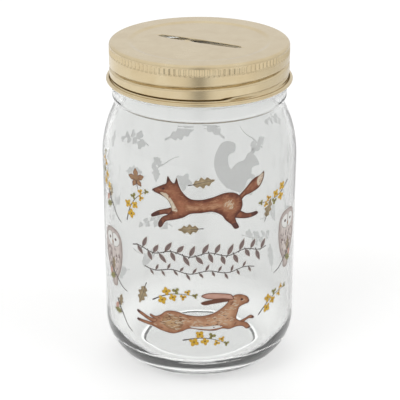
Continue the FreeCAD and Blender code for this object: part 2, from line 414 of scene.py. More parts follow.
@dataclass
class GlassJar:
    """The pressed glass jar: foot, heel, wall, shoulder, bead, threaded finish and inside."""

    finish: ClearGlass = field(default_factory=ClearGlass)
    thread: Thread = field(default_factory=Thread)
    print_room: float = 0.08
    wall: float = 2.6
    foot_inner: float = 24.0
    foot_edge: float = 0.5
    foot_land: float = 5.2
    foot_blend: float = 2.4
    push_up: float = 2.5
    heel_radius: float = 19.1
    heel_height: float = 17.8
    floor: float = 5.0
    floor_rise: float = 1.4
    inner_heel: float = 14.0
    shoulder_radius: float = 47.2
    neck: float = 34.3
    mouth: float = 31.0
    notch: float = 33.9
    bead: float = 35.4
    bead_drop: float = 15.6
    bead_height: float = 7.9
    bead_start: float = 3.4
    bead_under: float = 2.6
    bead_corner: float = 0.8
    lip: float = 1.0
    ridge_drop: float = 10.0
    ridge_depth: float = 1.2
    ridge_half: float = 1.35
    segments: int = 256

    def __post_init__(self) -> None:
        """Take the jar's overall sizes from its CAD node."""
        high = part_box("jar")[1]
        self.radius = high[0] / MM - self.print_room
        self.rim = high[2] / MM
        self.notch_height = self.rim - self.bead_drop - self.bead_height
        reach = self.shoulder_radius - (self.radius - self.notch)
        self.shoulder_low = self.notch_height - math.sqrt(self.shoulder_radius ** 2 - reach ** 2)

    def outside(self) -> list[Point]:
        """The outer outline from the middle of the foot up to the rim.

        Returns:
            Points of (distance from the axis, height).
        """
        heel = (self.radius - self.heel_radius, self.heel_height)
        foot = math.degrees(math.asin(-heel[1] / self.heel_radius))
        shoulder = (self.radius - self.shoulder_radius, self.shoulder_low)
        top = math.degrees(math.asin((self.notch_height - self.shoulder_low) / self.shoulder_radius))
        bead_top = self.rim - self.bead_drop
        ball = (self.foot_inner ** 2 + self.push_up ** 2) / (2 * self.push_up)
        edge = math.degrees(math.asin(self.foot_inner / ball))
        return (
            arc((0, self.push_up - ball), ball, 89.9, 90 - edge, 14)[:-1]
            + arc((self.foot_inner + self.foot_edge, self.foot_edge), self.foot_edge, 180, 270, 4)
            + line((self.foot_inner + 2 * self.foot_edge, 0), (heel[0] + self.foot_land, 0), 3)
            + arc((heel[0] + self.foot_land, self.foot_blend), self.foot_blend,
                  270, 270 + foot + 90, 4)[:-1]
            + arc(heel, self.heel_radius, foot + 1.2, 0, 30)[:-1]
            + line((self.radius, self.heel_height), (self.radius, self.shoulder_low), 16)
            + arc(shoulder, self.shoulder_radius, 0, top, 24)
            + arc((self.notch + 0.35, self.notch_height + 0.75), 0.5, 200, 120, 4)
            + arc((self.bead - self.bead_under, self.notch_height + self.bead_start),
                  self.bead_under, -45, 0, 6)
            + arc((self.bead - self.bead_corner, bead_top - self.bead_corner), self.bead_corner, 0, 90, 6)
            + line((self.neck, bead_top + 0.05), (self.neck, self.rim - self.lip), 60)
            + arc((self.neck - self.lip, self.rim - self.lip), self.lip, 0, 90, 6)
        )

    def inside(self) -> list[Point]:
        """The inner outline from the rim down to the middle of the floor.

        Returns:
            Points of (distance from the axis, height).
        """
        bore = self.radius - self.wall
        shoulder = (self.radius - self.shoulder_radius, self.shoulder_low)
        inner = self.shoulder_radius - self.wall
        top = math.degrees(math.acos((self.mouth - shoulder[0]) / inner))
        heel = (bore - self.inner_heel, self.floor + self.inner_heel)
        ball = (heel[0] ** 2 + self.floor_rise ** 2) / (2 * self.floor_rise)
        edge = math.degrees(math.asin(heel[0] / ball))
        join = shoulder[1] + inner * math.sin(math.radians(top))
        return (
            arc((self.mouth + self.lip, self.rim - self.lip), self.lip, 90, 180, 6)
            + line((self.mouth, self.rim - self.lip - 0.5), (self.mouth, join + 2.0), 14)
            + arc(shoulder, inner, top - 1.0, 0, 24)[:-1]
            + line((bore, self.shoulder_low), (bore, heel[1]), 16)
            + arc(heel, self.inner_heel, 0, -86, 26)
            + arc((0, self.floor + self.floor_rise - ball), ball, 90 - edge + 0.8, 89.9, 16)
        )

    def ridge(self, angle: np.ndarray, height: np.ndarray) -> np.ndarray:
        """How far the thread ridge stands out of the neck at each point.

        Args:
            angle: angles from the front in radians.
            height: heights.

        Returns:
            Distances outwards.
        """
        rise = np.zeros(np.broadcast(angle, height).shape)
        for offset, strength in self.thread.offsets(angle, height, self.rim - self.ridge_drop):
            hump = np.clip(1 - (offset / self.ridge_half) ** 2, 0, 1) ** 1.5
            rise = np.maximum(rise, hump * strength)
        return rise * self.ridge_depth

    def build(self) -> bpy.types.Object:
        """Make the jar's mesh.

        Returns:
            The glass piece.
        """
        outer = self.outside()
        outline = np.array(outer + self.inside()[1:])
        angle = np.arange(self.segments)[None, :] * math.tau / self.segments
        radius = np.repeat(outline[:, :1], self.segments, axis=1)
        height = outline[:, 1:]
        on_neck = (np.arange(len(outline))[:, None] < len(outer)) & (np.abs(radius - self.neck) < 1e-6)
        radius = radius + np.where(on_neck, self.ridge(angle, height), 0)
        points = around(radius, angle, height).reshape(-1, 3)
        faces = ring_faces(len(outline), self.segments, closed=False)
        last = len(points) - self.segments
        faces.append(list(range(self.segments))[::-1])
        faces.append(list(range(last, len(points))))
        return settle(mesh_object("jar_glass", points, faces, self.finish.make()),
                      Body.JAR, Slot.GLASS, "jar")


# ---------------------------------------------------------------- print

class Ink(Enum):
    """The enamel colours of the print: deep shade, light shade, and how blotchy each is."""

    WHITE = ((232, 231, 226), (247, 246, 243), 0.2)
    BACKING = ((240, 239, 235), (249, 248, 245), 0.2)
    RUST = ((104, 58, 44), (180, 120, 90), 0.9)
    BARK = ((78, 48, 42), (104, 68, 58), 0.5)
    CREAM = ((206, 186, 160), (238, 228, 212), 0.6)
    TAN = ((158, 104, 74), (212, 168, 134), 0.9)
    UMBER = ((104, 66, 52), (136, 92, 74), 0.5)
    BLUSH = ((190, 140, 124), (222, 182, 164), 0.6)
    YELLOW = ((206, 156, 40), (242, 208, 84), 1.0)
    OLIVE = ((128, 124, 62), (176, 172, 110), 1.0)
    STEM = ((84, 76, 72), (116, 106, 100), 0.6)
    MAPLE = ((146, 104, 76), (206, 170, 130), 1.0)
    OAK = ((136, 118, 88), (196, 176, 142), 1.2)
    DOWN = ((172, 156, 150), (226, 216, 210), 0.8)
    PLUME = ((128, 108, 104), (160, 140, 134), 0.6)

    def make(self) -> bpy.types.Material:
        """Build the material: a dry, slightly raised enamel with painted blotches.

        Returns:
            The finish.
        """
        deep, light, blotchy = self.value
        material, sheet = new_material("enamel_" + self.name.lower())
        wash = sheet.noise(sheet.place(), 520.0, 4.0, 0.62)
        tone = sheet.add("Attribute", attribute_name="tone").outputs["Fac"]
        blots = sheet.math("MULTIPLY", sheet.math("SUBTRACT", wash, 0.5), 1.6 * blotchy)
        share = sheet.math("ADD", sheet.math("MULTIPLY", tone, 0.8), sheet.math("ADD", blots, 0.1))
        colour = sheet.ramp(share, [(0.0, linear(*deep)), (1.0, linear(*light))])
        sheet.surface({
            "Base Color": colour, "Roughness": 0.5, "Specular IOR Level": 0.3,
            "Subsurface Weight": 1.0 if self is Ink.BACKING else 0.0,
            "Subsurface Radius": (1.0, 1.0, 1.0), "Subsurface Scale": 0.0006,
            "Normal": sheet.bump(wash, 0.25, 0.00003)})
        return material


def smooth_loop(points: list[Point], step: float = 0.4) -> np.ndarray:
    """A smooth closed line through a few points.

    Args:
        points: the points, in order round the shape.
        step: about how far apart the points of the result lie.

    Returns:
        Points along the line.
    """
    knots = np.array(points, dtype=float)
    before, after, beyond = np.roll(knots, 1, 0), np.roll(knots, -1, 0), np.roll(knots, -2, 0)
    found = []
    for p0, p1, p2, p3 in zip(before, knots, after, beyond):
        count = max(2, round(float(np.hypot(*(p2 - p1))) / step))
        t = np.arange(count)[:, None] / count
        found.append(0.5 * (2 * p1 + (p2 - p0) * t + (2 * p0 - 5 * p1 + 4 * p2 - p3) * t ** 2
                            + (3 * p1 - p0 - 3 * p2 + p3) * t ** 3))
    return np.concatenate(found)


def distance_to(points: np.ndarray, loop: np.ndarray) -> np.ndarray:
    """How far each point lies from a closed line.

    Args:
        points: the points.
        loop: the line's points, in order.

    Returns:
        One distance for each point.
    """
    run = np.roll(loop, -1, 0) - loop
    away = points[:, None, :] - loop[None, :, :]
    share = np.clip((away * run).sum(-1) / np.maximum((run * run).sum(-1), 1e-12), 0, 1)
    return np.sqrt(((away - share[..., None] * run) ** 2).sum(-1)).min(axis=1)


def inside_loop(points: np.ndarray, loop: np.ndarray) -> np.ndarray:
    """Whether each point lies inside a closed line.

    Args:
        points: the points.
        loop: the line's points, in order.

    Returns:
        True for each point inside.
    """
    ahead = np.roll(loop, -1, 0)
    x, y = points[:, 0, None], points[:, 1, None]
    crosses = (loop[:, 1] > y) != (ahead[:, 1] > y)
    rise = np.where(ahead[:, 1] == loop[:, 1], 1e-12, ahead[:, 1] - loop[:, 1])
    at = loop[:, 0] + (y - loop[:, 1]) * (ahead[:, 0] - loop[:, 0]) / rise
    return (crosses & (x < at)).sum(axis=1) % 2 == 1


def grow(loop: np.ndarray, distance: float) -> np.ndarray:
    """Offset a closed line, outwards for a positive distance, without its crossing itself.

    Args:
        loop: the line's points, in order.
        distance: how far to move it.

    Returns:
        The moved line.
    """
    run = np.roll(loop, -1, 0) - np.roll(loop, 1, 0)
    run /= np.maximum(np.linalg.norm(run, axis=1, keepdims=True), 1e-9)
    turning = np.sum(loop[:, 0] * np.roll(loop[:, 1], -1) - np.roll(loop[:, 0], -1) * loop[:, 1])
    out = np.stack([run[:, 1], -run[:, 0]], axis=1) * np.sign(turning)
    moved = loop + out * distance
    return moved[distance_to(moved, loop) > abs(distance) * 0.9]


@dataclass
class Patch:
    """A flat of one ink inside a closed line; soft is how far its edge shade reaches in."""

    ink: Ink
    loop: np.ndarray
    soft: float = 1.2


def shape(ink: Ink, soft: float, *points: Point) -> Patch:
    """A flat of ink inside a smooth line through a few points."""
    return Patch(ink, smooth_loop(list(points)), soft)


def outlined(points: list[Point], edge: Ink, fill: Ink, rim: float = 0.3,
             soft: float = 2.0) -> list[Patch]:
    """A shape with a drawn outline and a filled middle."""
    loop = smooth_loop(points)
    return [Patch(edge, loop), Patch(fill, grow(loop, -rim), soft)]


def stroke(points: list[Point], ink: Ink, width: float, tip: float = 0.3) -> Patch:
    """A brushed line that tapers to a share of its width at its far end.

    Args:
        points: points along the line.
        ink: its ink.
        width: its width where it starts.
        tip: the share of the width left at the far end.

    Returns:
        The line as a flat of ink.
    """
    route = np.array(points, dtype=float)
    run = np.gradient(route, axis=0)
    run /= np.linalg.norm(run, axis=1, keepdims=True)
    side = np.stack([-run[:, 1], run[:, 0]], axis=1) * (
        width / 2 * np.linspace(1, tip, len(route)))[:, None]
    loop = smooth_loop(np.concatenate([route + side, (route - side)[::-1]]).tolist(), 0.7)
    return Patch(ink, loop, 0.4)


def spun(turn: float) -> np.ndarray:
    """The matrix that turns rows of points by some degrees, anticlockwise."""
    tilt = math.radians(turn)
    return np.array([[math.cos(tilt), math.sin(tilt)], [-math.sin(tilt), math.cos(tilt)]])


def blob(centre: Point, across: float, up: float, ink: Ink, turn: float = 0.0,
         soft: float = 1.0) -> Patch:
    """An oval of ink.

    Args:
        centre: its middle.
        across: half its width.
        up: half its height.
        ink: its ink.
        turn: degrees to turn it, anticlockwise.
        soft: how far its edge shade reaches in.

    Returns:
        The oval.
    """
    angle = np.arange(14) * math.tau / 14
    oval = np.stack([across * np.cos(angle), up * np.sin(angle)], axis=1)
    return Patch(ink, smooth_loop((oval @ spun(turn) + centre).tolist()), soft)


def lay(patches: list[Patch], at: Point, turn: float = 0.0, size: float = 1.0,
        flip: bool = False) -> list[Patch]:
    """Move a drawing to its place.

    Args:
        patches: the drawing, about its own origin.
        at: the place on the jar: millimetres round from the front, and height.
        turn: degrees to turn it, anticlockwise.
        size: how much larger to make it.
        flip: whether to mirror it.

    Returns:
        The drawing in its place.
    """
    scale = np.array([-size if flip else size, size])
    return [Patch(p.ink, (p.loop * scale) @ spun(turn) + at, p.soft * size) for p in patches]


def scatter(make: Callable[[], list[Patch]], *places: tuple[float, ...],
            size: float = 1.0) -> list[Patch]:
    """Lay a fresh drawing at many places.

    Args:
        make: makes the drawing.
        places: millimetres round from the front, height, turn and, where it has its own, size.
        size: the size of those without their own.

    Returns:
        All the drawings in their places.
    """
    return [patch for x, y, turn, *own in places
            for patch in lay(make(), (x, y), turn, own[0] if own else size)]


def lobed_leaf(ink: Ink, length: float, width: float, lobes: float, depth: float) -> list[Patch]:
    """A leaf along +X from its stalk, with lobed or plain sides and a drawn middle rib.

    Args:
        ink: its ink.
        length: its length.
        width: its width.
        lobes: how many lobes a side has.
        depth: how deep they are cut, from 0 to 1.

    Returns:
        The leaf and its rib.
    """
    share = np.linspace(0, 1, 30)
    half = width / 2 * np.sin(math.pi * share ** 0.85) ** 0.8 * (
        1 - depth * (0.5 + 0.5 * np.cos(math.tau * lobes * share)))
    half = np.maximum(half, 0.16)
    x = share * length
    loop = np.concatenate([np.stack([x, half], 1), np.stack([x, -half], 1)[::-1]])
    rib = stroke([(-length * 0.22, 0.1), (0, 0), (length * 0.5, 0.15), (length * 0.86, 0)],
                 Ink.STEM, 0.4)
    return [Patch(ink, smooth_loop(loop.tolist(), 0.5), 1.4), rib]


def maple_leaf(ink: Ink, radius: float) -> list[Patch]:
    """A five-pointed leaf about its middle, with its stalk downwards.

    Args:
        ink: its ink.
        radius: the reach of its points.

    Returns:
        The leaf, its ribs and its stalk.
    """
    angle = np.arange(60) * math.tau / 60
    point = np.abs(np.cos(2.5 * (angle - math.pi / 2))) ** 1.4
    notch = 0.10 * np.abs(np.cos(7.5 * (angle - math.pi / 2)))
    reach = radius * (0.42 + 0.52 * point + notch) * (0.9 + 0.1 * np.sin(angle))
    loop = np.stack([reach * np.cos(angle), reach * np.sin(angle)], axis=1)
    ribs = [stroke([(0, -radius * 0.3), (0.35 * radius * math.cos(a), 0.35 * radius * math.sin(a)),
                    (0.7 * radius * math.cos(a), 0.7 * radius * math.sin(a))], Ink.BARK, 0.3)
            for a in np.radians([18, 90, 162])]
    stalk = stroke([(0, -radius * 0.3), (0.1, -radius * 0.8), (0.3, -radius * 1.15)], Ink.BARK, 0.4)
    return outlined(loop.tolist(), Ink.BARK, ink, 0.18, 1.2) + ribs + [stalk]


def berry_sprig(draw: random.Random, length: float = 17.0) -> list[Patch]:
    """A thin arching stem with pairs of yellow berries that get smaller towards its tip.

    Args:
        draw: the random draws.
        length: the length of the stem.

    Returns:
        The sprig about its middle.
    """
    stem = [(x, 2.0 * math.sin(math.pi * (x + length / 2) / length))
            for x in np.linspace(-length / 2, length / 2, 9)]
    patches = [stroke(stem, Ink.STEM, 0.5)]
    for k, (x, y) in enumerate(stem[2:]):
        side = 1 if k % 2 else -1
        plump = 1.36 - 0.09 * k
        ink = Ink.OLIVE if k > 5 or k == 3 else Ink.YELLOW
        middle = (x + draw.uniform(-0.3, 0.3), y + side * (plump + 0.2) * (k < 6))
        first = draw.uniform(0, 120)
        for petal in range(4 if k < 3 else 3):
            angle = math.radians(first + petal * (90 if k < 3 else 120))
            spot = (middle[0] + plump * 0.72 * math.cos(angle), middle[1] + plump * 0.66 * math.sin(angle))
            patches.append(blob(spot, plump * draw.uniform(0.6, 0.78), plump * draw.uniform(0.48, 0.6),
                                ink, math.degrees(angle)))
        patches.append(blob(middle, 0.34, 0.28, Ink.UMBER))
    return patches


def leafy_twig(draw: random.Random, length: float = 15.0) -> list[Patch]:
    """A bare twig with two small oak leaves and a bud near its end.

    Args:
        draw: the random draws.
        length: the length of the twig.

    Returns:
        The twig about its middle.
    """
    patches = lay(lobed_leaf(Ink.OAK, 5.6, 3.6, 3.5, 0.5), (-length * 0.30, 0.6),
                  118 + draw.uniform(-12, 12))
    patches += lay(lobed_leaf(Ink.OLIVE, 5.4, 3.4, 3.5, 0.5), (-length * 0.12, -0.4),
                   238 + draw.uniform(-12, 12))
    patches += [blob((-length * 0.36, -1.6), 1.0, 1.7, Ink.BLUSH, 10)]
    route = [(length * x, y) for x, y in ((-0.5, 0.9), (-0.25, 0.2), (0, 0), (0.28, -0.5), (0.5, 0.2))]
    return patches + [stroke(route, Ink.STEM, 0.9, 0.35)]


def fur(draw: random.Random, within: np.ndarray, count: int, ink: Ink, lean: float,
        reach: float = 1.5) -> list[Patch]:
    """Short brush strokes scattered inside a shape, all combed roughly one way.

    Args:
        draw: the random draws.
        within: the outline of the shape.
        count: how many strokes.
        ink: their ink.
        lean: the way they are combed, in degrees.
        reach: how long they are.

    Returns:
        The strokes.
    """
    low, high = within.min(axis=0), within.max(axis=0)
    patches = []
    while len(patches) < count:
        spot = np.array([[draw.uniform(low[0], high[0]), draw.uniform(low[1], high[1])]])
        if inside_loop(spot, within)[0] and distance_to(spot, within)[0] > 0.9:
            angle = math.radians(lean + draw.uniform(-22, 22))
            half = reach / 2 * draw.uniform(0.6, 1.2)
            step = np.array([math.cos(angle), math.sin(angle)]) * half
            route = [tuple(spot[0] + step * along) for along in (-1, 0, 1)]
            patches.append(stroke(route, ink, 0.34, 0.5))
    return patches


def leaping_fox(draw: random.Random) -> list[Patch]:
    """A fox in full leap, head to the left, brush streaming behind.

    Args:
        draw: the random draws.

    Returns:
        The fox in its place on the jar.
    """
    brush = [(15.2, 84.0), (18.6, 87.4), (22.0, 90.6), (25.4, 91.6), (27.4, 92.6), (27.0, 89.6),
             (25.0, 86.6), (21.4, 85.0), (18.4, 84.2), (16.4, 82.4)]
    far_fore = [(-9.6, 80.6), (-13.4, 79.6), (-16.8, 78.3), (-19.6, 76.3), (-19.4, 75.2), (-17.6, 75.8),
                (-14.0, 77.2), (-10.0, 77.6)]
    far_hind = [(10.8, 80.0), (15.6, 78.8), (19.0, 76.9), (21.8, 76.6), (23.8, 76.7), (24.6, 75.6),
                (22.6, 74.8), (19.4, 74.6), (15.8, 75.2), (12.0, 76.6)]
    body = [(-18.9, 87.0), (-16.6, 88.4), (-14.4, 89.6), (-13.1, 90.4), (-12.5, 93.2), (-10.9, 91.2),
            (-9.8, 90.7), (-8.9, 92.9), (-7.9, 89.8), (-6.4, 87.0), (-3.6, 84.6), (0.6, 84.2), (5.4, 85.2),
            (10.0, 86.6), (14.0, 86.2), (16.6, 84.0), (17.4, 81.0), (16.6, 78.2), (14.6, 76.0),
            (14.8, 74.0), (16.0, 71.4), (14.2, 70.9), (12.6, 73.0), (10.4, 75.0), (8.6, 77.4), (5.0, 79.0),
            (0.6, 78.6), (-3.4, 78.2), (-6.6, 76.4), (-10.2, 75.2), (-13.4, 74.2), (-15.2, 71.6),
            (-16.4, 71.4), (-16.6, 73.2), (-15.0, 75.8), (-12.2, 77.6), (-11.0, 79.6), (-11.6, 81.8),
            (-13.0, 83.8), (-15.6, 85.2), (-18.2, 86.0)]
    coat = grow(smooth_loop(body), -0.3)
    chest = smooth_loop([(-15.6, 86.0), (-13.4, 86.2), (-11.6, 84.6), (-9.8, 81.8), (-8.6, 79.0),
                         (-10.6, 79.0), (-11.2, 81.4), (-12.6, 83.6)])
    flank = smooth_loop([(-6.0, 82.0), (0.0, 81.6), (6.0, 82.6), (9.4, 81.4), (6.0, 80.2), (0.0, 79.8),
                         (-5.0, 79.8)])
    haunch = smooth_loop([(9.4, 83.6), (13.0, 84.0), (14.6, 81.6), (13.6, 79.0), (10.8, 79.2), (9.0, 81.0)])
    return (
        outlined(far_fore, Ink.BARK, Ink.RUST) + outlined(far_hind, Ink.BARK, Ink.RUST)
        + outlined(brush, Ink.BARK, Ink.RUST, 0.3, 2.6)
        + [shape(Ink.CREAM, 1.0, (24.4, 90.8), (27.0, 92.0), (26.6, 89.8), (24.8, 87.2), (23.8, 88.8))]
        + fur(draw, smooth_loop(brush), 12, Ink.TAN, 35)
        + outlined(body, Ink.BARK, Ink.RUST, 0.3, 3.4)
        + [Patch(Ink.TAN, flank, 2.0), Patch(Ink.TAN, haunch, 2.2), Patch(Ink.CREAM, chest, 0.8)]
        + fur(draw, coat, 110, Ink.TAN, 8) + fur(draw, haunch, 18, Ink.CREAM, 60, 1.1)
        + [shape(Ink.BARK, 0.6, (14.6, 73.4), (16.0, 71.5), (14.3, 71.1), (13.0, 72.9)),
           shape(Ink.BARK, 0.6, (-15.0, 73.8), (-14.8, 72.0), (-16.2, 71.5), (-16.4, 73.1), (-15.6, 74.8)),
           shape(Ink.BARK, 0.6, (-16.2, 77.9), (-19.4, 76.1), (-19.2, 75.4), (-16.4, 76.6)),
           shape(Ink.BARK, 0.6, (21.6, 76.5), (24.3, 76.2), (24.4, 75.5), (21.8, 75.1)),
           blob((-18.5, 86.7), 0.6, 0.5, Ink.BARK), blob((-14.3, 87.9), 0.62, 0.42, Ink.BARK, 20),
           blob((-12.3, 91.6), 0.4, 0.9, Ink.BARK, -12), blob((-9.1, 91.2), 0.4, 0.8, Ink.BARK, -14)]
    )


def running_hare(draw: random.Random) -> list[Patch]:
    """A hare at full stretch, head to the right, ears laid back.

    Args:
        draw: the random draws.

    Returns:
        The hare in its place on the jar.
    """
    far_ear = [(13.4, 39.6), (9.4, 39.4), (5.2, 39.0), (2.0, 38.6), (0.6, 39.6), (3.0, 40.6),
               (8.0, 41.2), (12.6, 41.2)]
    near_ear = [(13.8, 40.0), (9.8, 40.8), (5.4, 41.0), (2.2, 41.6), (0.8, 42.8), (3.6, 43.9),
                (8.2, 43.6), (13.0, 42.4)]
    far_fore = [(12.6, 31.4), (16.0, 30.0), (19.0, 30.6), (21.6, 31.4), (23.4, 30.3), (23.0, 29.6),
                (20.6, 30.0), (17.6, 28.6), (13.6, 28.8)]
    far_hind = [(-16.4, 31.0), (-20.6, 30.6), (-24.4, 31.8), (-27.0, 32.4), (-27.2, 31.4), (-24.4, 30.2),
                (-20.6, 28.8), (-16.6, 28.6)]
    body = [(21.0, 38.4), (20.0, 40.2), (17.6, 41.6), (14.8, 42.0), (12.6, 40.8), (11.0, 38.6), (8.6, 36.6),
            (5.4, 34.8), (0.6, 33.8), (-5.0, 34.2), (-9.6, 35.4), (-13.4, 35.0), (-16.2, 32.8),
            (-18.4, 31.8), (-20.8, 32.2), (-20.6, 31.0), (-18.0, 30.2), (-19.6, 28.8), (-23.6, 28.6),
            (-27.0, 28.6), (-27.2, 27.6), (-23.8, 27.2), (-19.6, 26.9), (-15.6, 25.8), (-11.0, 25.2),
            (-7.4, 26.4), (-3.8, 28.0), (1.0, 27.4), (6.0, 27.0), (9.4, 27.6), (12.2, 27.0),
            (15.4, 27.6), (18.0, 27.2), (19.8, 25.7), (21.6, 25.7), (21.4, 26.7), (19.8, 28.6),
            (17.2, 29.8), (15.2, 31.4), (15.8, 34.0), (16.6, 36.2), (18.8, 37.0), (20.6, 37.3)]
    coat = grow(smooth_loop(body), -0.3)
    thigh = shape(Ink.MAPLE, 2.4, (-13.6, 33.4), (-8.4, 33.0), (-6.6, 30.0), (-8.6, 27.2), (-13.0, 27.4),
                  (-15.4, 30.0))
    belly = shape(Ink.WHITE, 0.6, (-3.4, 29.0), (2.0, 29.0), (7.6, 29.2), (9.2, 28.4), (5.0, 27.7),
                  (0.6, 28.0), (-3.0, 28.5))
    return (
        outlined(far_ear, Ink.UMBER, Ink.UMBER) + outlined(far_fore, Ink.UMBER, Ink.TAN)
        + outlined(far_hind, Ink.UMBER, Ink.TAN)
        + outlined(body, Ink.UMBER, Ink.TAN, 0.28, 3.0)
        + [thigh, belly]
        + fur(draw, coat, 46, Ink.UMBER, 0, 1.2) + fur(draw, coat, 80, Ink.CREAM, 4)
        + outlined(near_ear, Ink.UMBER, Ink.BLUSH, 0.34, 1.0)
        + [blob((17.6, 39.4), 0.62, 0.5, Ink.BARK, -15), blob((20.6, 38.2), 0.45, 0.4, Ink.UMBER),
           blob((-26.6, 31.9), 0.8, 0.5, Ink.BARK, -20), blob((-26.6, 28.1), 0.8, 0.45, Ink.BARK),
           blob((21.0, 26.0), 0.7, 0.35, Ink.BARK, 10), blob((22.8, 30.1), 0.7, 0.35, Ink.BARK, -20),
           stroke([(19.4, 37.5), (20.2, 37.8), (20.9, 38.1)], Ink.UMBER, 0.25)]
    )


def perched_owl(draw: random.Random) -> list[Patch]:
    """An owl on a twig, seen from the front and turned a little.

    Args:
        draw: the random draws.

    Returns:
        The owl and its twig, about the middle.
    """
    body = [(0.4, 12.4), (3.6, 11.6), (5.3, 8.8), (5.6, 4.6), (5.2, 0.0), (4.0, -5.0), (2.2, -9.0),
            (1.4, -12.6), (-1.2, -12.8), (-2.2, -8.8), (-4.2, -4.4), (-5.4, 0.6), (-5.4, 6.0),
            (-4.6, 10.2), (-2.6, 12.0)]
    breast = smooth_loop([(-4.6, 3.2), (4.8, 3.2), (3.6, -4.6), (0.6, -11.4), (-0.8, -11.4), (-3.8, -4.6)])
    wing = [(-2.4, 3.6), (-4.6, 1.8), (-4.6, -2.0), (-2.8, -6.2), (-1.0, -9.4), (-0.4, -5.0), (-0.6, 0.0)]
    patches = outlined(body, Ink.PLUME, Ink.DOWN, 0.26, 2.2)
    patches += outlined(wing, Ink.PLUME, Ink.DOWN, 0.24, 0.8)
    patches += fur(draw, breast, 64, Ink.PLUME, 80, 1.3)
    face = [(0.2, 9.9), (2.4, 10.3), (4.2, 8.6), (4.0, 6.2), (2.2, 4.5), (0.3, 4.8)]
    for side in (1, -1):
        patches += outlined([(x * side, y) for x, y in face], Ink.PLUME, Ink.WHITE, 0.16, 0.8)
        patches.append(blob((1.9 * side, 7.6), 0.55, 0.6, Ink.BARK))
    patches.append(blob((0, 6.2), 0.42, 0.85, Ink.MAPLE))
    broad = [Patch(patch.ink, patch.loop * (1.32, 1.0), patch.soft) for patch in patches]
    return broad + lay(leafy_twig(draw), (2.5, -9.0), -35)


def sitting_squirrel() -> list[Patch]:
    """A squirrel sitting up, its tail curled over its back.

    Returns:
        The squirrel about its middle.
    """
    tail = [(5.0, -8.6), (9.0, -7.0), (11.6, -1.6), (11.2, 4.6), (8.0, 9.4), (3.8, 9.6), (3.4, 6.6),
            (6.0, 4.6), (6.2, 0.6), (4.0, -3.4)]
    body = [(-8.6, 3.8), (-7.0, 6.0), (-5.6, 6.8), (-5.4, 9.2), (-4.0, 7.2), (-2.4, 6.0), (-1.2, 3.4),
            (1.6, 1.8), (4.4, -1.4), (5.8, -5.6), (5.0, -8.9), (0.6, -9.5), (-4.4, -9.5), (-4.6, -8.5),
            (-1.8, -7.9), (-2.4, -5.4), (-3.6, -3.6), (-6.2, -3.0), (-6.6, -1.9), (-4.2, -1.5),
            (-4.4, 0.8), (-6.4, 2.4)]
    return (outlined(tail, Ink.BARK, Ink.RUST, 0.3, 2.4) + outlined(body, Ink.BARK, Ink.RUST, 0.3, 2.4)
            + [blob((-6.0, 4.6), 0.5, 0.5, Ink.BARK), blob((-2.9, -1.2), 1.3, 3.2, Ink.CREAM, 14)])


def garland(draw: random.Random, length: float, height: float, leaf: float) -> list[Patch]:
    """A thin waving vine with small leaves to either side, about its middle.

    Args:
        draw: the random draws.
        length: its length.
        height: how high it waves.
        leaf: the length of a leaf.

    Returns:
        The vine and its leaves.
    """
    x = np.linspace(-length / 2, length / 2, round(length / 2.4))
    vine = [(a, height * math.sin(a * 0.42)) for a in x]
    patches = []
    for k, (a, b) in enumerate(vine[1:-1]):
        side = 1 if k % 2 else -1
        blade = lobed_leaf(Ink.PLUME, leaf * draw.uniform(0.85, 1.1), leaf * 0.4, 1.0, 0.0)
        patches += lay(blade, (a, b + side * 0.3), side * draw.uniform(48, 72))
    return patches + [stroke(vine, Ink.STEM, 0.42, 0.8)]


